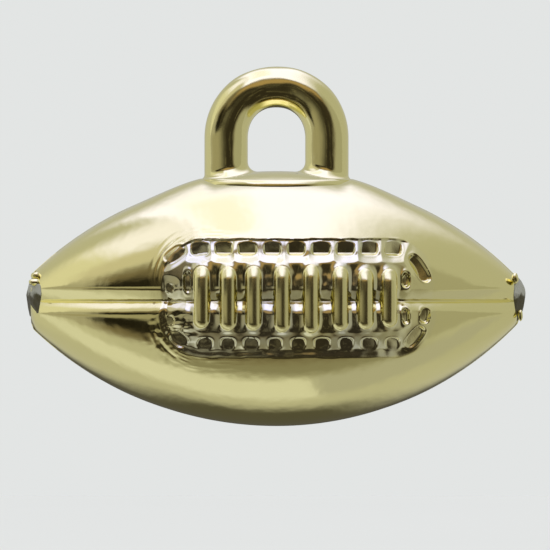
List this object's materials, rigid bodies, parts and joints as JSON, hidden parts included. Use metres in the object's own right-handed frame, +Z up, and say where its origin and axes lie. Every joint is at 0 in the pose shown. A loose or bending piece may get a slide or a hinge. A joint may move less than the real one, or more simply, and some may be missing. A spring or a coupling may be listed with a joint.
{
  "type": "football charm",
  "caption": "Small hollow American-football charm with raised laces and stitch rings, and a round-section hanging loop on top.",
  "frame": {"origin": "centre of the hanging loop's arch, on the hanging axis, midway through the loop", "axes": "+X along the football, towards the viewer's right when the laces face the viewer; +Y through the eye to the plain back; +Z up, from the football to the loop"},
  "size_m": [0.0383, 0.0196, 0.0275],
  "materials": {
    "gold_plated_plastic": "vacuum-metallised, pale gold, bright with fine orange peel",
    "bare_resin": "bare translucent grey moulding resin, freshly broken"
  },
  "bodies": {
    "root": {"front_shell": "gold_plated_plastic", "back_shell": "gold_plated_plastic", "hanging_loop": "gold_plated_plastic", "gate_stub_left": "bare_resin", "gate_stub_right": "bare_resin"}
  },
  "joints": []
}
